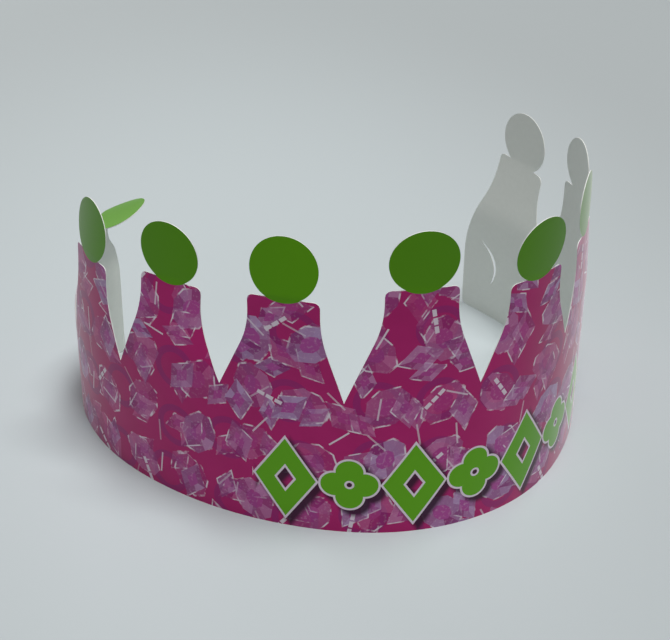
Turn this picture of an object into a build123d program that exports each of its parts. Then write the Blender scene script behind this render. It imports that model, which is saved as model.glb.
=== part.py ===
from build123d import *
import math
import os

# Paper crown: one die-cut strip of coated card, bent round into an open C that stands on its long
# straight edge, with a row of flared spikes that each carry a round disc. Millimetres, +Z up.

# The card and the strip
card_thickness = 0.4
spike_pitch = 62.0
end_length = 34.0
end_corner_radius = 4.0
trim_length = 5.0

# The bend of the card at each spike, seen from the front, left end first
bend_radii = (60.0, 125.0, 185.0, 178.0, 110.0, 102.0, 168.0, 90.0, 350.0)

# The spikes: height of each flat top from the middle spike outwards, and height of the root of each
# notch between two spikes, left end first
top_heights = (135.0, 126.0, 119.0, 109.0, 99.0)
notch_heights = (54.0, 64.0, 75.0, 75.0, 80.0, 80.0, 68.0, 56.0)
top_width = 32.0
shoulder_radius = 3.0
flare_drop = 18.0
flare_ease = 10.5
notch_root_width = 1.0

# The discs, which sink a little way into the flat tops, and the one that is bent inwards
disc_diameter = 32.0
disc_overlap = 1.7
bent_spike = 0
neck_length = 0.3
disc_bend_angle = 66.0
disc_bend_radius = 1.5

# The end tabs: the outer side of an end spike falls in an ogee to an upright end
tab_height = 42.0

# The curved closing slit in the right end, given from that end and from the bottom edge
slit_width = 0.6
slit_top = (13.0, 45.0)
slit_middle = (22.5, 34.0)
slit_bottom = (23.5, 20.0)

spike_count = len(bend_radii)
last_spike = spike_count - 1
centre_spike = last_spike // 2
disc_radius = disc_diameter / 2
half_pitch = spike_pitch / 2
half_top = top_width / 2
wall_height = max(top_heights) + disc_diameter


def top_height(i):
    """Height of the flat top of a spike, which is alike on both sides of the middle one."""
    return top_heights[abs(i - centre_spike)]


def left_reach(i):
    """Length of uncut strip from the middle of a spike to its left, with what is trimmed off the end."""
    return end_length + trim_length if i == 0 else half_pitch


def right_reach(i):
    """Length of uncut strip from the middle of a spike to its right, with what is trimmed off the end."""
    return end_length + trim_length if i == last_spike else half_pitch


def turn(i, length):
    """Degrees through which the strip turns over a length of the spike's own bend."""
    return math.degrees(length / bend_radii[i])


def plan_arcs():
    """Tangent arcs of the strip's outer face in plan, with the middle of the strip facing -Y."""
    heading = -turn(centre_spike, left_reach(centre_spike))
    for i in range(centre_spike):
        heading -= turn(i, left_reach(i) + right_reach(i))
    arcs = []
    start = Vector(0, 0)
    for i in range(spike_count):
        sweep = turn(i, left_reach(i) + right_reach(i))
        tangent = Vector(1, 0).rotate(Axis.Z, heading)
        arcs.append(JernArc(start, tangent, bend_radii[i], sweep))
        start = arcs[-1] @ 1
        heading += sweep
    return arcs


def inner_arc(arc, i):
    """The inner face of the card in plan, one thickness inside the arc of its outer face."""
    inwards = (arc % 0).rotate(Axis.Z, 90)
    sweep = turn(i, left_reach(i) + right_reach(i))
    return JernArc(arc @ 0 + inwards * card_thickness, arc % 0, bend_radii[i] - card_thickness, sweep)


def bent_card(first, last):
    """The bent strip from one spike to another before its outline is cut: a round wall of even height."""
    outer = arcs[first : last + 1]
    inner = [inner_arc(arcs[i], i) for i in range(first, last + 1)]
    ends = [Line(outer[0] @ 0, inner[0] @ 0), Line(outer[-1] @ 1, inner[-1] @ 1)]
    return extrude(make_face(outer + inner + ends), wall_height)


def face_frame(i, along):
    """Plane that touches the outer face at a share of a spike's arc: x along the strip, y up, z out."""
    tangent = arcs[i] % along
    return Plane(origin=arcs[i] @ along, x_dir=tangent, z_dir=tangent.rotate(Axis.Z, -90))


def spike_frame(i):
    """Plane that touches the outer face at the middle of a spike."""
    return face_frame(i, left_reach(i) / (left_reach(i) + right_reach(i)))


def prism(frame, outline):
    """Cutter that carries a flat outline square through the card."""
    return extrude(frame * outline, half_pitch, both=True)


def across(i, length):
    """Straight distance from the middle of a spike to a point that lies a length along its bend."""
    return bend_radii[i] * math.sin(length / bend_radii[i])


def notch_side(i, sign):
    """Outline from below the root of a notch up the flared side of a spike to the middle of its top."""
    root_height = notch_heights[i - 1] if sign < 0 else notch_heights[i]
    root = sign * across(i, half_pitch)
    side = sign * half_top
    top = top_height(i)
    lean = math.atan2(abs(root - side), top - flare_drop - root_height)
    flare_radius = flare_ease / math.tan(lean / 2)
    corners = [(root, root_height), (side, top - flare_drop), (side, top), (0, top)]
    flank = FilletPolyline(*corners, radius=[flare_radius, shoulder_radius])
    return [Line((root, 0), (root, root_height)), flank]


def tab_side(i, sign):
    """Outline of an end tab: a rounded bottom corner, an upright end and an ogee up to the flat top."""
    end = sign * across(i, end_length)
    side = sign * half_top
    top = top_height(i)
    shoulder = (side, top - shoulder_radius)
    middle = ((end + side) / 2, (tab_height + shoulder[1]) / 2)
    lower = TangentArc((end, tab_height), middle, tangent=(0, 1))
    upper = TangentArc(shoulder, middle, tangent=(0, -1))
    foot = (end - sign * end_corner_radius, 0)
    corner = TangentArc(foot, (end, end_corner_radius), tangent=(sign, 0))
    rounding = TangentArc(shoulder, (side - sign * shoulder_radius, top), tangent=(0, 1))
    return [corner, Line(corner @ 1, lower @ 0), lower, upper, rounding, Line(rounding @ 1, (0, top))]


def spike_outline(i):
    """Flat shape of one spike with its stretch of band, without its disc."""
    left = tab_side(i, -1) if i == 0 else notch_side(i, -1)
    right = tab_side(i, 1) if i == last_spike else notch_side(i, 1)
    return make_face([Line(left[0] @ 0, right[0] @ 0)] + left + right)


def disc_outline(i):
    """Flat shape of the disc on a spike's flat top."""
    return Pos(0, top_height(i) + disc_radius - disc_overlap) * Circle(disc_radius)


def below_fold(i):
    """Flat field up to the line about which a disc is bent, a short neck above the flat top."""
    return Pos(0, top_height(i) + neck_length - disc_radius) * Rectangle(disc_diameter, disc_diameter)


def waste(i):
    """What the die cuts away round one spike, out to the narrow roots of the notches beside it."""
    margin = notch_root_width / 4
    left = across(i, left_reach(i)) + (trim_length if i == 0 else -margin)
    right = across(i, right_reach(i)) + (trim_length if i == last_spike else -margin)
    blank = Pos((right - left) / 2, wall_height / 2) * Rectangle(left + right, wall_height)
    disc = disc_outline(i) & below_fold(i) if i == bent_spike else disc_outline(i)
    return prism(spike_frame(i), blank - spike_outline(i) - disc)


def notch_root(i):
    """Cutter for the narrow rounded root of the notch on the right of a spike."""
    length = wall_height - notch_heights[i] + notch_root_width
    slot = Rot(0, 0, 90) * SlotOverall(length, notch_root_width)
    return prism(face_frame(i, 1), Pos(0, notch_heights[i] + length / 2) * slot)


def bent_disc(upright, i):
    """The disc that is turned inwards: a fold rolled from the top of its neck, and the disc beyond it."""
    frame = spike_frame(i)
    fold_height = top_height(i) + neck_length
    neck_middle = frame.from_local_coords((0, fold_height, 0))
    neck = upright.faces().filter_by(Axis.Z).sort_by_distance(neck_middle)[0]
    fold_depth = -frame.to_local_coords(neck.bounding_box()).min.Z
    fold_middle = frame.from_local_coords((0, fold_height, -fold_depth - disc_bend_radius))
    fold_axis = Axis(fold_middle, -frame.x_dir)
    flap = bent_card(i, i) & prism(frame, disc_outline(i) - below_fold(i))
    return [revolve(neck, fold_axis, disc_bend_angle), flap.rotate(fold_axis, disc_bend_angle)]


def closing_slit():
    """Cutter for the curved slit in the right end."""
    end = across(last_spike, end_length)
    points = [(end - back, height) for back, height in (slit_top, slit_middle, slit_bottom)]
    return prism(spike_frame(last_spike), trace(ThreePointArc(*points), slit_width))


# The strip bent, cut to its outline, and set with the middle of its box over the origin
arcs = plan_arcs()
cutters = [waste(i) for i in range(spike_count)] + [notch_root(i) for i in range(last_spike)]
crown = bent_card(0, last_spike) - (cutters + [closing_slit()])
crown += bent_disc(crown, bent_spike)
middle = crown.bounding_box().center()
crown = Pos(-middle.X, -middle.Y, 0) * crown
crown.label = "card_crown"

os.makedirs("parts", exist_ok=True)
export_step(crown, "parts/card_crown.step")
box = crown.bounding_box()
print("solids", len(crown.solids()), "volume", round(crown.volume), "size", box.size, "lowest", box.min.Z)
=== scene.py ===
import math

import bmesh
import bpy
import numpy as np
from mathutils import Matrix


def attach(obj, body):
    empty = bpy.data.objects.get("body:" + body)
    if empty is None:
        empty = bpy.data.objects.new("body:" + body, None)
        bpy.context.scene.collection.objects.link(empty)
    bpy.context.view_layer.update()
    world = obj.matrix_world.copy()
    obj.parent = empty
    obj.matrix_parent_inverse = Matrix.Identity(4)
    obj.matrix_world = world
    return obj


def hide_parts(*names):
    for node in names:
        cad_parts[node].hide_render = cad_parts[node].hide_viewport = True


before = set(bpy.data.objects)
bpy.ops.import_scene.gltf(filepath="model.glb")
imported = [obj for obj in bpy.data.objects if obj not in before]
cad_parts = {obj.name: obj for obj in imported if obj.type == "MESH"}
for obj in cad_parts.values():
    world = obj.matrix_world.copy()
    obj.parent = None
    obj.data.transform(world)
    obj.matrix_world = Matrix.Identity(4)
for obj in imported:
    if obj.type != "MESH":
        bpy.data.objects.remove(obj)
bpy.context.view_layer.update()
scene = bpy.context.scene

# The crown is one strip of coated board, 564 mm long. A die cuts its spikes, discs, end tabs and closing
# slit in one stroke, and it is bent round by hand into an open C that stands on its long straight edge.
# Lengths are in millimetres and angles in degrees, one for each spike or notch, left end first.
MM = 0.001
card_thickness = 0.4
spike_pitch = 62.0
end_length = 34.0
end_corner_radius = 4.0
bend_radii = np.array([60.0, 125.0, 185.0, 178.0, 110.0, 102.0, 168.0, 90.0, 350.0])
bend_ease = 24.0
front_middle = (17.86, -105.46)

top_heights = np.array([99.4, 108.9, 118.8, 126.6, 134.4, 126.2, 122.0, 112.4, 101.4])
notch_heights = np.array([54.0, 62.4, 73.7, 73.7, 79.0, 79.1, 68.0, 56.0])
notch_shifts = np.array([0.0, -3.3, -2.0, -3.1, 0.0, 1.6, 0.0, 0.0])
half_top = 17.0
shoulder_radius = 3.0
flare_drop = 18.0
flare_ease = 10.5
left_tab_height = 51.0
right_tab_height = 35.0
disc_radius = 16.0
disc_overlaps = np.array([2.0, 2.7, 2.0, 2.0, 2.0, 2.0, 2.0, 2.0, 2.8])

# What handling has done to the card: how far each spike leans outwards above its notches and is twisted,
# how far its disc tilts beyond that, how much its flat top slants, and over which lengths this comes about
spike_leans = np.array([-15.1, -2.7, -5.6, 1.9, 1.7, 1.1, -2.4, -1.1, 10.5])
spike_twists = np.array([0.0, 0.0, -4.0, 0.0, 0.0, 3.0, 0.0, 0.0, 0.0])
disc_tilts = np.array([-51.2, -3.9, 6.9, -8.0, 3.1, 3.7, 1.0, -1.3, -6.6])
lean_eases = np.array([14.0, 12.0, 12.0, 12.0, 12.0, 12.0, 12.0, 12.0, 18.0])
top_slants = np.array([0.0, 0.0, 0.0, 0.0, 0.0, 0.0, 0.0, 0.0, 0.11])
twist_ease = 30.0
fold_length = 2.5

spike_count = len(bend_radii)
last_spike = spike_count - 1
centre_spike = last_spike // 2
half_pitch = spike_pitch / 2
half_flat = half_top - shoulder_radius
disc_rises = disc_radius - disc_overlaps
half_necks = np.sqrt(disc_radius**2 - disc_rises**2)

# How finely the strip is divided
band_rows = 26
flank_rows = 40
disc_rows = 36
neck_columns = 16
shoulder_columns = 9
arc_points = 24
lean_steps = 2000
weld_distance = 0.01
sliver_length = 0.001

# Plan of the outer face: curvature goes from one spike's bend to the next over bend_ease, heading is its
# running sum along the strip, and place is the running sum of the heading's direction, counted from the
# middle of the strip, which lies at front_middle
plan_step = 0.25
plan_margin = 10.0
plan_reach = centre_spike * spike_pitch + end_length + plan_margin
plan_length = np.arange(-plan_reach, plan_reach + plan_step, plan_step)
bend_here = np.clip(np.rint(plan_length / spike_pitch).astype(int) + centre_spike, 0, last_spike)
ease_steps = int(bend_ease / plan_step) | 1
bend_padded = np.pad(1 / bend_radii[bend_here], ease_steps // 2, mode="edge")
plan_curvature = np.convolve(bend_padded, np.full(ease_steps, 1 / ease_steps), mode="valid")
plan_heading = np.cumsum(plan_curvature) * plan_step
plan_heading -= np.interp(0, plan_length, plan_heading)
plan_x = np.cumsum(np.cos(plan_heading)) * plan_step
plan_y = np.cumsum(np.sin(plan_heading)) * plan_step
plan_x += front_middle[0] - np.interp(0, plan_length, plan_x)
plan_y += front_middle[1] - np.interp(0, plan_length, plan_y)


def smooth_step(x):
    """0 below 0, 1 above 1, and 3x^2 - 2x^3 between."""
    x = np.clip(x, 0, 1)
    return x * x * (3 - 2 * x)


def outwards(length):
    """Level direction straight out of the card's outer face at a length along the strip."""
    heading = np.interp(length, plan_length, plan_heading)
    return np.stack([np.sin(heading), -np.cos(heading), np.zeros_like(heading)], axis=-1)


def bent(i, length, height):
    """Place in space of a point of the flat strip that belongs to spike i, in mm.

    The plan gives the place round the crown. Above the notches the card turns out of upright by the
    spike's lean, and above the flat top by the disc's tilt, so outward offset and height are running sums
    of that turn's sine and cosine. Slant and twist add to height and offset in proportion to the distance
    from the spike's middle.
    """
    lean_start = max(notch_heights[max(i - 1, 0)], notch_heights[min(i, last_spike - 1)])
    middle = (i - centre_spike) * spike_pitch
    aside = length - middle
    height = height + top_slants[i] * aside * smooth_step((height - lean_start) / lean_eases[i])
    steps = np.linspace(0, top_heights[i] + 2 * disc_radius, lean_steps)
    lean = spike_leans[i] * smooth_step((steps - lean_start) / lean_eases[i])
    tilt = disc_tilts[i] * smooth_step((steps - top_heights[i]) / fold_length)
    turn = np.radians(lean + tilt)
    twist = np.radians(spike_twists[i]) * smooth_step((height - lean_start) / twist_ease)
    offset = np.interp(height, steps, np.cumsum(np.sin(turn)) * steps[1]) + aside * np.tan(twist)
    level = np.interp(height, steps, np.cumsum(np.cos(turn)) * steps[1] - steps[1])
    ground = [np.interp(length, plan_length, plan_x), np.interp(length, plan_length, plan_y), level]
    return np.stack(ground, axis=-1) + offset[..., None] * outwards(np.array(middle))


def arc(centre, radius, start, end):
    """Points on a circle from one angle to another, in degrees: centre + radius (cos a, sin a)."""
    angle = np.radians(np.linspace(start, end, arc_points))[:, None]
    return np.array(centre) + radius * np.concatenate([np.cos(angle), np.sin(angle)], axis=1)


def evenly(line, count):
    """Points at equal steps of length along a line of points."""
    along = np.concatenate([[0], np.cumsum(np.linalg.norm(np.diff(line, axis=0), axis=1))])
    wanted = np.linspace(0, along[-1], count)
    return np.stack([np.interp(wanted, along, line[:, 0]), np.interp(wanted, along, line[:, 1])], axis=1)


def notch_edge(root, shift, top):
    """Cut edge on the right of a spike: up the middle of the notch to its root, then up the flared flank.

    The root lies a little off the middle. The flank is a straight line from it, an arc that touches that
    line and the upright side, and the rounded shoulder.
    """
    band = np.array([(half_pitch, 0), (half_pitch + shift, root)])
    lean = math.atan2(half_pitch + shift - half_top, top - flare_drop - root)
    radius = flare_ease / math.tan(lean / 2)
    flare_centre = (half_top + radius, top - flare_drop + flare_ease)
    flare = arc(flare_centre, radius, 180 + math.degrees(lean), 180)
    shoulder = arc((half_flat, top - shoulder_radius), shoulder_radius, 0, 90)
    flank = np.concatenate([band[1:], flare, shoulder])
    return np.concatenate([evenly(band, band_rows + 1), evenly(flank, flank_rows + 1)[1:]])


def tab_edge(tab_height, top):
    """Cut edge at an end of the strip: rounded foot, upright end, ogee of two like arcs, and shoulder."""
    foot = arc((end_length - end_corner_radius, end_corner_radius), end_corner_radius, -90, 0)
    band = np.concatenate([foot, [(end_length, tab_height)]])
    across = (end_length - half_top) / 2
    rise = (top - shoulder_radius - tab_height) / 2
    radius = (across**2 + rise**2) / (2 * across)
    sweep = math.degrees(math.asin(rise / radius))
    lower = arc((end_length - radius, tab_height), radius, 0, sweep)
    upper = arc((half_top + radius, top - shoulder_radius), radius, 180 + sweep, 180)
    shoulder = arc((half_flat, top - shoulder_radius), shoulder_radius, 0, 90)
    flank = np.concatenate([lower, upper[1:], shoulder])
    return np.concatenate([evenly(band, band_rows + 1), evenly(flank, flank_rows + 1)[1:]])


def spike_grid(i):
    """Flat places of a spike, from its middle and the bottom edge: rows ruled from cut edge to cut edge."""
    top = top_heights[i]
    if i == 0:
        left = tab_edge(left_tab_height, top)
    else:
        left = notch_edge(notch_heights[i - 1], -notch_shifts[i - 1], top)
    if i == last_spike:
        right = tab_edge(right_tab_height, top)
    else:
        right = notch_edge(notch_heights[i], notch_shifts[i], top)
    left = left * (-1, 1)
    neck_share = half_necks[i] / half_flat
    neck = np.linspace(-neck_share, neck_share, neck_columns + 1)
    shoulder = np.linspace(neck_share, 1, shoulder_columns + 1)[1:]
    columns = np.concatenate([-shoulder[::-1], neck, shoulder])
    return (left + right)[:, None] / 2 + columns[:, None] * (right - left)[:, None] / 2


def disc_grid(i):
    """Flat places of a disc, as of a spike: level rows at height r sin(a) with half-width r cos(a)."""
    angle = np.linspace(-math.asin(disc_rises[i] / disc_radius), math.pi / 2, disc_rows + 1)[:, None]
    across = disc_radius * np.cos(angle) * np.linspace(-1, 1, neck_columns + 1)
    height = top_heights[i] + disc_rises[i] + disc_radius * np.sin(angle) + 0 * across
    return np.stack([across, height], axis=-1)


def grid_faces(rows, columns, first):
    """Four-cornered faces of a grid of vertices numbered row by row from first, turned to face outwards."""
    number = first + np.arange(rows * columns).reshape(rows, columns)
    corners = [number[:-1, :-1], number[:-1, 1:], number[1:, 1:], number[1:, :-1]]
    return np.stack(corners, axis=-1).reshape(-1, 4)


# The strip keeps two maps of itself laid flat, in mm: along its length, and from the middle of each disc
places, flat_places, disc_places, faces = [], [], [], []
vertex_count = 0
for i in range(spike_count):
    for grid in (spike_grid(i), disc_grid(i)):
        length = (i - centre_spike) * spike_pitch + grid[..., 0]
        places.append(bent(i, length, grid[..., 1]).reshape(-1, 3))
        flat_places.append(np.stack([length, grid[..., 1]], axis=-1).reshape(-1, 2))
        disc_places.append((grid - (0, top_heights[i] + disc_rises[i])).reshape(-1, 2))
        faces.append(grid_faces(*grid.shape[:2], vertex_count))
        vertex_count += grid.shape[0] * grid.shape[1]

crown_mesh = bpy.data.meshes.new("card_strip")
crown_mesh.from_pydata(np.concatenate(places) * MM, [], np.concatenate(faces))
corner_vertex = np.zeros(len(crown_mesh.loops), np.int32)
crown_mesh.loops.foreach_get("vertex_index", corner_vertex)
for map_name, map_places in (("flat_mm", flat_places), ("disc_mm", disc_places)):
    uv_map = crown_mesh.uv_layers.new(name=map_name)
    uv_map.data.foreach_set("uv", np.concatenate(map_places)[corner_vertex].astype(np.float32).ravel())

welded = bmesh.new()
welded.from_mesh(crown_mesh)
bmesh.ops.remove_doubles(welded, verts=welded.verts, dist=weld_distance * MM)
bmesh.ops.dissolve_degenerate(welded, edges=welded.edges, dist=sliver_length * MM)
welded.to_mesh(crown_mesh)
welded.free()
crown = bpy.data.objects.new("crown_strip", crown_mesh)
scene.collection.objects.link(crown)


def linear(hex_colour):
    """Linear RGBA of an sRGB hex colour."""
    shares = np.array([int(hex_colour[k : k + 2], 16) for k in (1, 3, 5)]) / 255
    light = np.where(shares <= 0.04045, shares / 12.92, ((shares + 0.055) / 1.055) ** 2.4)
    return (*light.tolist(), 1.0)


def node(tree, kind, inputs, **settings):
    """Adds a node with its settings, and gives each input a value or a link from a node or socket."""
    new = tree.nodes.new("ShaderNode" + kind)
    for name, value in settings.items():
        setattr(new, name, value)
    for key, value in inputs.items():
        by_name = (socket for socket in new.inputs if socket.enabled and socket.name == key)
        socket = new.inputs[key] if isinstance(key, int) else next(by_name)
        if isinstance(value, bpy.types.Node):
            value = next(output for output in value.outputs if output.enabled)
        if isinstance(value, bpy.types.NodeSocket):
            tree.links.new(value, socket)
        else:
            socket.default_value = value
    return new


def empty_material(name):
    """A material with an empty node tree."""
    material = bpy.data.materials.new(name)
    material.use_nodes = True
    material.node_tree.nodes.clear()
    return material


# Offset print on coated board, sealed with a thin gloss varnish: even flat ink with crisp edges, a soft
# broad sheen that washes the colour out where the card turns away, and a very fine tooth from the board.
ground_magenta = "#BF2375"
second_magenta = "#AC1B67"
shade_purple = "#8C2876"
rose_lilac = "#DF7CB2"
grey_lilac = "#BDA0CB"
deep_lilac = "#B2529F"
line_white = "#EADBE7"
motif_green = "#65AD14"
disc_green = "#589600"
shadow_purple = "#36102F"

# Scattered motifs: how far each wanders in its square of a grid, how strongly it is inked, the sizes of the
# ground's clouds and rings, and those of strokes and dashed bars, with the share of squares that have one
motif_jitter = 0.3
faintest_ink, fullest_ink = 0.25, 0.95
cloud_size = 18.0
ring_cell, ring_radius, ring_half_width, ring_ink = 34.0, 10.0, 1.8, 0.55
stroke_cell, stroke_half_length, stroke_half_width, stroke_share = 19.0, 6.0, 0.45, 0.4
bar_cell, bar_half_length, bar_half_width, bar_share, bar_ink = 37.0, 6.9, 1.0, 0.4, 0.95
dash_pitch, dash_half_length = 4.6, 1.84

# Cut jewels: facets, the table in the middle, the inks between which rose turns to grey, white flecks, and
# a white edge with gaps, each pattern between two values of its noise
facet_count = 8
table_share = 0.45
grey_from, grey_to = 0.3, 0.9
fleck_size, fleck_from, fleck_to, fleck_ink = 1.6, 0.55, 0.75, 0.3
edge_width, edge_ink = 0.8, 0.9
gap_size, gap_from, gap_to = 7.0, 0.5, 0.6
jewel_layers = (
    {"cell": 24.0, "shift": (11.0, 18.7), "half_length": 9.5, "half_width": 5.5, "corner": 1.0},
    {"cell": 31.0, "shift": (2.0, 3.4), "half_length": 12.0, "half_width": 9.0, "corner": 1.35},
    {"cell": 28.0, "shift": (17.0, 28.9), "half_length": 11.5, "half_width": 7.5, "corner": 1.0},
)

# The green row: a lozenge ring under each spike and a quatrefoil under each notch
row_height = 28.0
row_middle = 31.0
row_half_length = 108.5
lozenge_half_width = 15.0
lozenge_half_height = 22.5
lozenge_stroke = 8.0
lobe_offset = 7.2
lobe_radius = 6.6
eye_radius = 2.4
outline_width = 1.1
shadow_shift = (2.6, -2.6, 0.0)
shadow_blur = 3.6
shadow_ink = 0.95
disc_bleed = 0.2


def scattered(tree, flat, cell, shift):
    """One motif in each square of a grid over the flat print: places in mm from it, its chance, its ink.

    The grid is laid at a shift of its own, and each motif lies off its square's middle and is turned at
    random.
    """
    moved = node(tree, "VectorMath", {0: flat, 1: (*shift, 0)}, operation="ADD")
    squares = node(tree, "VectorMath", {0: moved, 1: (1 / cell, 1 / cell, 0)}, operation="MULTIPLY")
    square = node(tree, "VectorMath", {0: squares}, operation="FLOOR")
    draw = node(tree, "TexWhiteNoise", {"Vector": square}, noise_dimensions="3D")
    inside = node(tree, "VectorMath", {0: squares}, operation="FRACTION")
    nearest = 0.5 - motif_jitter / 2
    wander = {0: draw.outputs["Color"], 1: (motif_jitter, motif_jitter, 0), 2: (nearest, nearest, 0)}
    middle = node(tree, "VectorMath", wander, operation="MULTIPLY_ADD")
    local = node(tree, "VectorMath", {0: inside, 1: middle}, operation="SUBTRACT")
    sized = node(tree, "VectorMath", {0: local, 1: (cell, cell, 0)}, operation="MULTIPLY")
    angle = node(tree, "Math", {0: draw.outputs["Value"], 1: 2 * math.pi}, operation="MULTIPLY")
    turned = node(tree, "VectorRotate", {"Vector": sized, "Axis": (0, 0, 1), "Angle": angle})
    ink = node(tree, "SeparateColor", {"Color": draw.outputs["Color"]}).outputs["Blue"]
    ink = node(tree, "MapRange", {"Value": ink, "To Min": faintest_ink, "To Max": fullest_ink})
    return turned, draw.outputs["Value"], ink


def jewels(tree, flat, colour, cell, shift, half_length, half_width, corner):
    """Adds cut jewels to the print: facets of uneven tone, a deeper table and a broken white edge.

    A jewel's edge is where the largest of |x|/a, |y|/b and (|x|/a + |y|/b)/corner is 1: a lozenge where
    corner is 1, and an oblong with cut corners where it is more.
    """
    turned, chance, ink = scattered(tree, flat, cell, shift)
    size_shares = (1 / half_length, 1 / half_width, 0)
    shares = node(tree, "VectorMath", {0: turned, 1: size_shares}, operation="MULTIPLY")
    parts = node(tree, "SeparateXYZ", {"Vector": shares})
    angle = node(tree, "Math", {0: parts.outputs["Y"], 1: parts.outputs["X"]}, operation="ARCTAN2")
    facet = node(tree, "Math", {0: angle, 1: 2 * math.pi / facet_count}, operation="DIVIDE")
    facet = node(tree, "Math", {0: facet}, operation="FLOOR")
    facet_seed = node(tree, "CombineXYZ", {"X": facet, "Y": chance})
    facet_tone = node(tree, "TexWhiteNoise", {"Vector": facet_seed}, noise_dimensions="3D").outputs["Value"]
    sides = node(tree, "VectorMath", {0: shares}, operation="ABSOLUTE")
    sides = node(tree, "SeparateXYZ", {"Vector": sides})
    slant = node(tree, "Math", {0: sides.outputs["X"], 1: sides.outputs["Y"]}, operation="ADD")
    slant = node(tree, "Math", {0: slant, 1: corner}, operation="DIVIDE")
    square = node(tree, "Math", {0: sides.outputs["X"], 1: sides.outputs["Y"]}, operation="MAXIMUM")
    reach = node(tree, "Math", {0: slant, 1: square}, operation="MAXIMUM")

    greyness = node(tree, "MapRange", {"Value": ink, "From Min": grey_from, "From Max": grey_to})
    pale = {"Factor": greyness, "A": linear(rose_lilac), "B": linear(grey_lilac)}
    tint = node(tree, "Mix", pale, data_type="RGBA")
    tint = node(tree, "Mix", {"Factor": facet_tone, "A": tint, "B": linear(shade_purple)}, data_type="RGBA")
    table = node(tree, "Math", {0: reach, 1: table_share}, operation="LESS_THAN")
    tint = node(tree, "Mix", {"Factor": table, "A": tint, "B": linear(deep_lilac)}, data_type="RGBA")
    flecks = node(tree, "TexNoise", {"Vector": flat, "Scale": 1 / fleck_size, "Detail": 2.0})
    flecks = {"Value": flecks, "From Min": fleck_from, "From Max": fleck_to, "To Max": fleck_ink}
    flecks = node(tree, "MapRange", flecks)
    tint = node(tree, "Mix", {"Factor": flecks, "A": tint, "B": linear(line_white)}, data_type="RGBA")
    inside = node(tree, "Math", {0: reach, 1: 1.0}, operation="LESS_THAN")
    inside = node(tree, "Math", {0: inside, 1: ink}, operation="MULTIPLY")
    colour = node(tree, "Mix", {"Factor": inside, "A": colour, "B": tint}, data_type="RGBA")

    edge = node(tree, "Math", {0: reach, 1: 1.0, 2: edge_width / 2 / half_width}, operation="COMPARE")
    broken = node(tree, "TexNoise", {"Vector": flat, "Scale": 1 / gap_size, "Detail": 3.0})
    broken = {"Value": broken, "From Min": gap_from, "From Max": gap_to, "To Max": edge_ink}
    broken = node(tree, "MapRange", broken)
    edge = node(tree, "Math", {0: edge, 1: broken}, operation="MULTIPLY")
    return node(tree, "Mix", {"Factor": edge, "A": colour, "B": linear(line_white)}, data_type="RGBA")


def row_distance(tree, place):
    """Distance in mm from the edge of the green row's motifs, less than nothing inside them.

    Under each spike stands a lozenge ring, |x|/a + |y|/b = 1 made even in width. Under each notch stands a
    quatrefoil, the nearest of five like circles, less the eye in its middle. The row ends at
    row_half_length from its own middle.
    """
    parts = node(tree, "SeparateXYZ", {"Vector": place})
    up = node(tree, "Math", {0: parts.outputs["Y"], 1: row_height}, operation="SUBTRACT")
    up = node(tree, "Math", {0: up}, operation="ABSOLUTE")
    along = node(tree, "Math", {0: parts.outputs["X"], 1: half_pitch, 2: -half_pitch}, operation="WRAP")
    along = node(tree, "Math", {0: along}, operation="ABSOLUTE")

    inset = lozenge_half_width * lozenge_half_height / math.hypot(lozenge_half_width, lozenge_half_height)
    level_part = {0: along, 1: inset / lozenge_half_width, 2: -inset}
    level_part = node(tree, "Math", level_part, operation="MULTIPLY_ADD")
    upright_part = {0: up, 1: inset / lozenge_half_height, 2: level_part}
    outer = node(tree, "Math", upright_part, operation="MULTIPLY_ADD")
    inner = node(tree, "Math", {0: -lozenge_stroke, 1: outer}, operation="SUBTRACT")
    ring = node(tree, "Math", {0: outer, 1: inner}, operation="MAXIMUM")

    aside = node(tree, "Math", {0: half_pitch, 1: along}, operation="SUBTRACT")
    corner = node(tree, "CombineXYZ", {"X": aside, "Y": up})
    level_lobe = node(tree, "VectorMath", {0: corner, 1: (lobe_offset, 0, 0)}, operation="DISTANCE")
    upright_lobe = node(tree, "VectorMath", {0: corner, 1: (0, lobe_offset, 0)}, operation="DISTANCE")
    lobes = {0: level_lobe.outputs["Value"], 1: upright_lobe.outputs["Value"]}
    lobes = node(tree, "Math", lobes, operation="MINIMUM")
    from_eye = node(tree, "VectorMath", {0: corner}, operation="LENGTH").outputs["Value"]
    lobes = node(tree, "Math", {0: lobes, 1: from_eye}, operation="MINIMUM")
    lobes = node(tree, "Math", {0: lobes, 1: lobe_radius}, operation="SUBTRACT")
    eye = node(tree, "Math", {0: eye_radius, 1: from_eye}, operation="SUBTRACT")
    quatrefoil = node(tree, "Math", {0: lobes, 1: eye}, operation="MAXIMUM")

    motif = node(tree, "Math", {0: ring, 1: quatrefoil}, operation="MINIMUM")
    from_middle = node(tree, "Math", {0: parts.outputs["X"], 1: row_middle}, operation="SUBTRACT")
    from_middle = node(tree, "Math", {0: from_middle}, operation="ABSOLUTE")
    beyond = node(tree, "Math", {0: from_middle, 1: row_half_length}, operation="SUBTRACT")
    return node(tree, "Math", {0: motif, 1: beyond}, operation="MAXIMUM")


printed = empty_material("gloss_printed_board")
tree = printed.node_tree
flat = node(tree, "UVMap", {}, uv_map="flat_mm")

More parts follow.
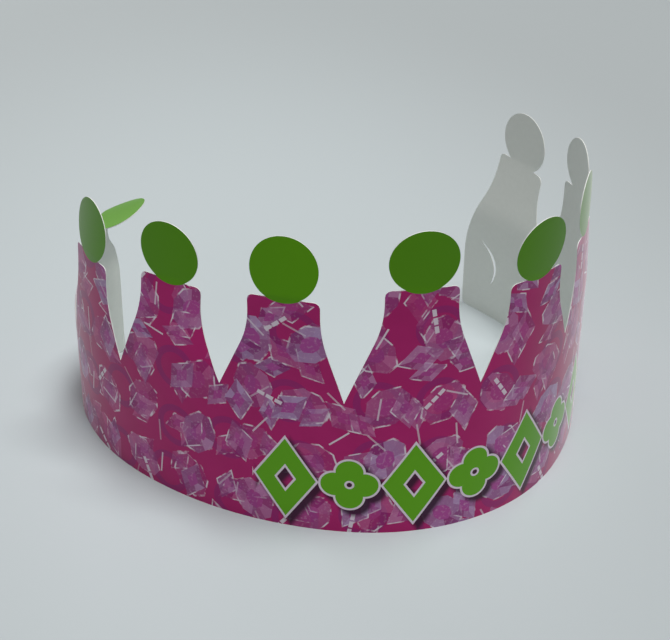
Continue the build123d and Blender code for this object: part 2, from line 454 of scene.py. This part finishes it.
# Ground ink, a little uneven, with large tone-on-tone rings
cloudy = node(tree, "TexNoise", {"Vector": flat, "Scale": 1 / cloud_size, "Detail": 3.0})
ground = {"Factor": cloudy, "A": linear(ground_magenta), "B": linear(second_magenta)}
colour = node(tree, "Mix", ground, data_type="RGBA")
turned, _, _ = scattered(tree, flat, ring_cell, shift=(5.0, 8.5))
away = node(tree, "VectorMath", {0: turned}, operation="LENGTH").outputs["Value"]
ring = node(tree, "Math", {0: away, 1: ring_radius, 2: ring_half_width}, operation="COMPARE")
ring = node(tree, "Math", {0: ring, 1: ring_ink}, operation="MULTIPLY")
colour = node(tree, "Mix", {"Factor": ring, "A": colour, "B": linear(shade_purple)}, data_type="RGBA")

# Cut jewels in three sizes, laid over each other
for layer in jewel_layers:
    colour = jewels(tree, flat, colour, **layer)

# Short white strokes
turned, chance, ink = scattered(tree, flat, stroke_cell, shift=(7.0, 11.9))
sides = node(tree, "VectorMath", {0: turned}, operation="ABSOLUTE")
sides = node(tree, "SeparateXYZ", {"Vector": sides})
stroke = node(tree, "Math", {0: sides.outputs["X"], 1: stroke_half_length}, operation="LESS_THAN")
within = node(tree, "Math", {0: sides.outputs["Y"], 1: stroke_half_width}, operation="LESS_THAN")
shown = node(tree, "Math", {0: chance, 1: stroke_share}, operation="LESS_THAN")
for factor in (within, shown, ink):
    stroke = node(tree, "Math", {0: stroke, 1: factor}, operation="MULTIPLY")
colour = node(tree, "Mix", {"Factor": stroke, "A": colour, "B": linear(line_white)}, data_type="RGBA")

# A few white bars of three dashes
turned, chance, _ = scattered(tree, flat, bar_cell, shift=(9.0, 15.3))
sides = node(tree, "VectorMath", {0: turned}, operation="ABSOLUTE")
sides = node(tree, "SeparateXYZ", {"Vector": sides})
bar = node(tree, "Math", {0: sides.outputs["X"], 1: bar_half_length}, operation="LESS_THAN")
within = node(tree, "Math", {0: sides.outputs["Y"], 1: bar_half_width}, operation="LESS_THAN")
dash = node(tree, "Math", {0: sides.outputs["X"], 1: dash_pitch / 2, 2: -dash_pitch / 2}, operation="WRAP")
dash = node(tree, "Math", {0: dash}, operation="ABSOLUTE")
dash = node(tree, "Math", {0: dash, 1: dash_half_length}, operation="LESS_THAN")
shown = node(tree, "Math", {0: chance, 1: bar_share}, operation="LESS_THAN")
for factor in (within, dash, shown, bar_ink):
    bar = node(tree, "Math", {0: bar, 1: factor}, operation="MULTIPLY")
colour = node(tree, "Mix", {"Factor": bar, "A": colour, "B": linear(line_white)}, data_type="RGBA")

# The green row: a soft shadow down to the right, a white outline, and the green itself
shifted = node(tree, "VectorMath", {0: flat, 1: shadow_shift}, operation="SUBTRACT")
shadow = row_distance(tree, shifted)
shadow = {"Value": shadow, "From Min": shadow_blur, "From Max": 0.0, "To Max": shadow_ink}
shadow = node(tree, "MapRange", shadow, interpolation_type="SMOOTHSTEP")
colour = node(tree, "Mix", {"Factor": shadow, "A": colour, "B": linear(shadow_purple)}, data_type="RGBA")
distance = row_distance(tree, flat)
outline = node(tree, "Math", {0: distance, 1: outline_width}, operation="LESS_THAN")
colour = node(tree, "Mix", {"Factor": outline, "A": colour, "B": linear(line_white)}, data_type="RGBA")
filled = node(tree, "Math", {0: distance, 1: 0.0}, operation="LESS_THAN")
colour = node(tree, "Mix", {"Factor": filled, "A": colour, "B": linear(motif_green)}, data_type="RGBA")

# Plain green on the discs
from_disc = node(tree, "UVMap", {}, uv_map="disc_mm")
from_disc = node(tree, "VectorMath", {0: from_disc}, operation="LENGTH").outputs["Value"]
on_disc = node(tree, "Math", {0: from_disc, 1: disc_radius + disc_bleed}, operation="LESS_THAN")
colour = node(tree, "Mix", {"Factor": on_disc, "A": colour, "B": linear(disc_green)}, data_type="RGBA")

# The board's tooth under the varnish, drawn at 0.6 mm, coarser than life, so that it shows
tooth_size = 0.6
tooth_height = 0.02
tooth = node(tree, "TexNoise", {"Vector": flat, "Scale": 1 / tooth_size, "Detail": 2.0})
grain = node(tree, "Bump", {"Height": tooth, "Strength": 0.12, "Distance": tooth_height * MM})
varnish = {"Roughness": 0.33, "IOR": 1.5, "Specular IOR Level": 0.12}
sheen = {"Sheen Weight": 0.35, "Sheen Roughness": 0.35}
shader = node(tree, "BsdfPrincipled", {"Base Color": colour, "Normal": grain, **varnish, **sheen})
node(tree, "OutputMaterial", {"Surface": shader})

# Uncoated back of the board: a matt warm-grey white, mottled by its fibres
back_grey = "#E0E3DD"
back_white = "#EAECE7"
mottle_size = 3.0
fibre_size = 0.8
fibre_height = 0.03
board_back = empty_material("uncoated_board_back")
tree = board_back.node_tree
flat = node(tree, "UVMap", {}, uv_map="flat_mm")
mottle = {"Vector": flat, "Scale": 1 / mottle_size, "Detail": 6.0, "Roughness": 0.65}
mottle = node(tree, "TexNoise", mottle)
back_tones = {"Factor": mottle, "A": linear(back_grey), "B": linear(back_white)}
colour = node(tree, "Mix", back_tones, data_type="RGBA")
fibres = node(tree, "TexNoise", {"Vector": flat, "Scale": 1 / fibre_size, "Detail": 4.0})
grain = node(tree, "Bump", {"Height": fibres, "Strength": 0.25, "Distance": fibre_height * MM})
uncoated = {"Roughness": 0.75, "IOR": 1.45}
shader = node(tree, "BsdfPrincipled", {"Base Color": colour, "Normal": grain, **uncoated})
node(tree, "OutputMaterial", {"Surface": shader})

# The cut edge of the board: bright bare fibre, slightly uneven where the die sheared it
edge_grey = "#DADBD6"
edge_white = "#EDEEEA"
shear_size = 1.5
cut_edge = empty_material("sheared_board_edge")
tree = cut_edge.node_tree
flat = node(tree, "UVMap", {}, uv_map="flat_mm")
shear = node(tree, "TexNoise", {"Vector": flat, "Scale": 1 / shear_size, "Detail": 3.0})
edge_tones = {"Factor": shear, "A": linear(edge_grey), "B": linear(edge_white)}
colour = node(tree, "Mix", edge_tones, data_type="RGBA")
shader = node(tree, "BsdfPrincipled", {"Base Color": colour, "Roughness": 0.9})
node(tree, "OutputMaterial", {"Surface": shader})

# The thickness of the board, laid inwards from the printed face
board_materials = (printed, board_back, cut_edge)
back_slot = board_materials.index(board_back)
edge_slot = board_materials.index(cut_edge)
for material in board_materials:
    crown_mesh.materials.append(material)
thickness = crown.modifiers.new("board_thickness", "SOLIDIFY")
thickness.thickness = card_thickness * MM
thickness.offset = -1
thickness.use_even_offset = True
thickness.material_offset = back_slot
thickness.material_offset_rim = edge_slot

# The closing slit in the right end: a blade that narrows to both ends goes right through the board, along a
# parabola through three points, which are given from the last spike's middle and the bottom edge
slit_width = 2.1
slit_end_share = 0.25
slit_points = np.array([(21.0, 46.6), (9.8, 36.0), (11.7, 21.7)])
slit_rows = 25
blade_depth = 2.0
share = np.linspace(0, 1, slit_rows)[:, None]
first, middle, last = slit_points + (centre_spike * spike_pitch, 0)
bow = 2 * middle - (first + last) / 2
line = (1 - share) ** 2 * first + 2 * share * (1 - share) * bow + share**2 * last
along = np.gradient(line, axis=0)
aside = np.stack([-along[:, 1], along[:, 0]], axis=1) / np.linalg.norm(along, axis=1)[:, None]
half_width = slit_width / 2 * (slit_end_share + (1 - slit_end_share) * np.sin(math.pi * share))
rings = []
for side, depth in ((-1, -1), (1, -1), (1, 1), (-1, 1)):
    edge_line = line + side * half_width * aside
    on_card = bent(last_spike, edge_line[:, 0], edge_line[:, 1])
    rings.append(on_card + depth * blade_depth * outwards(edge_line[:, 0]))
number = np.arange(slit_rows * len(rings)).reshape(slit_rows, -1)
wrapped = np.roll(number, -1, axis=1)
blade_faces = np.stack([number[:-1], number[1:], wrapped[1:], wrapped[:-1]], axis=-1).reshape(-1, 4)
blade_faces = np.concatenate([blade_faces, number[:1], number[-1:, ::-1]])
blade_mesh = bpy.data.meshes.new("slit_blade")
blade_mesh.from_pydata(np.stack(rings, axis=1).reshape(-1, 3) * MM, [], blade_faces)
for material in board_materials:
    blade_mesh.materials.append(material)
blade_mesh.polygons.foreach_set("material_index", np.full(len(blade_mesh.polygons), edge_slot, np.int32))
blade_shell = bmesh.new()
blade_shell.from_mesh(blade_mesh)
bmesh.ops.recalc_face_normals(blade_shell, faces=blade_shell.faces)
blade_shell.to_mesh(blade_mesh)
blade_shell.free()
blade = bpy.data.objects.new("slit_blade", blade_mesh)
scene.collection.objects.link(blade)
cut = crown.modifiers.new("closing_slit", "BOOLEAN")
cut.operation = "DIFFERENCE"
cut.solver = "EXACT"
cut.object = blade

# The finished strip, with its cut edges kept sharp
sharp_angle = 40
bpy.context.view_layer.update()
finished = bpy.data.meshes.new_from_object(crown.evaluated_get(bpy.context.evaluated_depsgraph_get()))
crown.modifiers.clear()
crown.data = finished
bpy.data.objects.remove(blade)
finished.polygons.foreach_set("use_smooth", np.ones(len(finished.polygons), bool))
finished.set_sharp_from_angle(angle=math.radians(sharp_angle))

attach(crown, "root")
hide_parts("card_crown")

# The table under the crown: one wide sheet of plain matt paper that runs on past the picture all round.
# It has no coating, so it takes soft shadows and shows no reflections. A pool of light is painted on it:
# paler around the crown, darker further off.
# Lengths are in metres from here on.
floor_half = 6.0
pale_grey = "#B6BEC0"
painted_falloff_grey = "#A5ABAC"
painted_pool_place = (0.03, -0.076, 0.0)
painted_pool_scale = (1.6, 1.0, 1.0)
painted_pool_inner, painted_pool_outer = 0.14, 0.64
floor_corners = np.array([(-1, -1, 0), (1, -1, 0), (1, 1, 0), (-1, 1, 0)]) * floor_half
floor_mesh = bpy.data.meshes.new("table_paper")
floor_mesh.from_pydata(floor_corners, [], [(0, 1, 2, 3)])
paper = empty_material("matt_paper_table")
tree = paper.node_tree
place = node(tree, "TexCoord", {}).outputs["Object"]
# Painted light: the paper's colour goes from the pale grey near the crown to a darker grey further off, as
# in a pool of light
painted_pool = node(tree, "Mapping", {"Vector": place, "Location": painted_pool_place, "Scale": painted_pool_scale})
away = node(tree, "VectorMath", {0: painted_pool}, operation="LENGTH").outputs["Value"]
painted_falloff = {"Value": away, "From Min": painted_pool_inner, "From Max": painted_pool_outer}
painted_falloff = node(tree, "MapRange", painted_falloff, interpolation_type="SMOOTHSTEP")
paper_tones_with_painted_falloff = {"Factor": painted_falloff, "A": linear(pale_grey), "B": linear(painted_falloff_grey)}
colour = node(tree, "Mix", paper_tones_with_painted_falloff, data_type="RGBA")
shader = node(tree, "BsdfPrincipled", {"Base Color": colour, "Roughness": 0.8})
node(tree, "OutputMaterial", {"Surface": shader})
floor_mesh.materials.append(paper)
floor = bpy.data.objects.new("table_paper", floor_mesh)
scene.collection.objects.link(floor)

# The light: a wide panel in a high ceiling, to the right of the crown and in front of it, whose soft
# shadows fall to the left, weak windows at the front left and the back left, and a dim even room.
room_white = "#F1F6FF"


def soft_light(name, place, width, depth, watts):
    """A rectangular area light that faces the crown."""
    light = bpy.data.lights.new(name, "AREA")
    light.shape = "RECTANGLE"
    light.size = width
    light.size_y = depth
    light.energy = watts
    lamp = bpy.data.objects.new(name, light)
    lamp.location = place
    lamp.rotation_euler = (-lamp.location).to_track_quat("-Z", "Y").to_euler()
    scene.collection.objects.link(lamp)


soft_light("ceiling_panel", (1.25, -1.1, 9.0), width=4.6, depth=3.6, watts=920.0)
soft_light("left_window", (-0.8, -1.1, 0.8), width=1.0, depth=1.0, watts=2.4)
soft_light("back_window", (-0.6, 1.35, 0.8), width=1.0, depth=1.0, watts=5.0)
room = bpy.data.worlds.new("dim_room")
room.use_nodes = True
room.node_tree.nodes.clear()
air = node(room.node_tree, "Background", {"Color": linear(room_white), "Strength": 0.01})
node(room.node_tree, "OutputWorld", {"Surface": air})
scene.world = room

# The camera: in front of the crown and a little to its left, looking down on it through a long lens, so
# that the inside of both ends shows beyond the front.
camera_place = (-0.1339, -0.6886, 0.4736)
turn, tip, roll = math.radians(-10.93), math.radians(59.37), math.radians(0.60)
camera = bpy.data.cameras.new("camera")
camera.lens = 84.54
camera.sensor_width = 36.0
camera.clip_end = 50.0
camera_object = bpy.data.objects.new("camera", camera)
aim = Matrix.Rotation(turn, 4, "Z") @ Matrix.Rotation(tip, 4, "X") @ Matrix.Rotation(roll, 4, "Z")
camera_object.matrix_world = Matrix.Translation(camera_place) @ aim
scene.collection.objects.link(camera_object)
scene.camera = camera_object
scene.view_settings.view_transform = "Standard"
